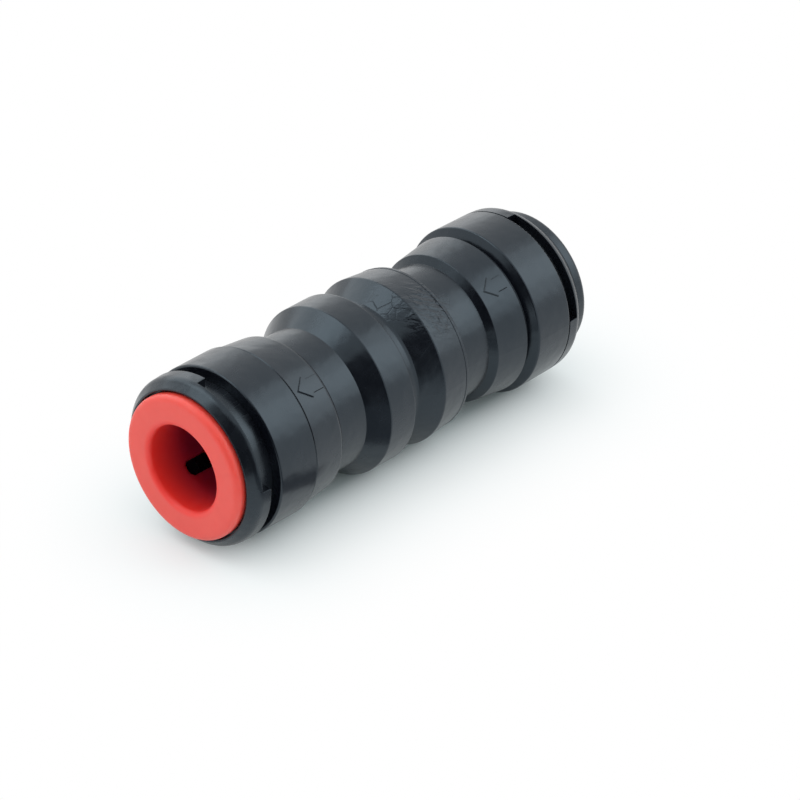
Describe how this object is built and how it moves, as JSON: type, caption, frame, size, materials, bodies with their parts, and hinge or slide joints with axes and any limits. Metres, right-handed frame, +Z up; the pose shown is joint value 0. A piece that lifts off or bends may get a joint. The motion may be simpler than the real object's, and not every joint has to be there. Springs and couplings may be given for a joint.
{
  "type": "inline non-return valve",
  "caption": "Inline push-fit check valve: collet grip and ring seal at each end, spring-loaded poppet that lets fluid pass one way only.",
  "frame": {"origin": "on the valve's axis, halfway between the two rims of the shell; the centre of the bounding box lies 0.4 mm from it along X, because the inlet collet rests a little pushed in", "axes": "+X along the axis in the flow direction, out of the outlet with the coloured collet seen in the picture; +Z up; +Y toward the side that carries the flow arrows"},
  "size_m": [0.0673, 0.0242, 0.0242],
  "materials": {
    "black_plastic": "satin moulded",
    "coral_plastic": "satin moulded",
    "white_plastic": "smooth moulded",
    "black_rubber": "smooth",
    "steel": "bright"
  },
  "bodies": {
    "shell": {"outlet_body": "black_plastic", "inlet_body": "black_plastic", "outlet_cap": "black_plastic", "inlet_cap": "black_plastic", "outlet_seal_spacer": "black_plastic", "inlet_seal_spacer": "black_plastic", "outlet_tube_seal": "black_rubber", "inlet_tube_seal": "black_rubber", "body_joint_seal": "black_rubber", "valve_seat": "white_plastic", "seat_seal": "black_rubber", "poppet_cage": "white_plastic", "return_spring": "steel"},
    "outlet_collet": {"outlet_collet": "coral_plastic", "outlet_grip_teeth": "steel"},
    "inlet_collet": {"inlet_collet": "black_plastic", "inlet_grip_teeth": "steel"},
    "poppet": {"poppet": "white_plastic", "poppet_nose": "white_plastic", "poppet_seal": "black_rubber"}
  },
  "joints": [
    {"name": "outlet_collet_slide", "type": "slide", "parent": "shell", "child": "outlet_collet", "axis": [1, 0, 0], "range_m": [-0.0006, 0.0019]},
    {"name": "inlet_collet_slide", "type": "slide", "parent": "shell", "child": "inlet_collet", "axis": [-1, 0, 0], "range_m": [-0.00075, 0.00085]},
    {"name": "poppet_slide", "type": "slide", "parent": "shell", "child": "poppet", "axis": [1, 0, 0], "range_m": [0, 0.0032], "stiffness_N_per_m": 150, "springref_m": -0.001, "deforming": ["return_spring"]}
  ]
}
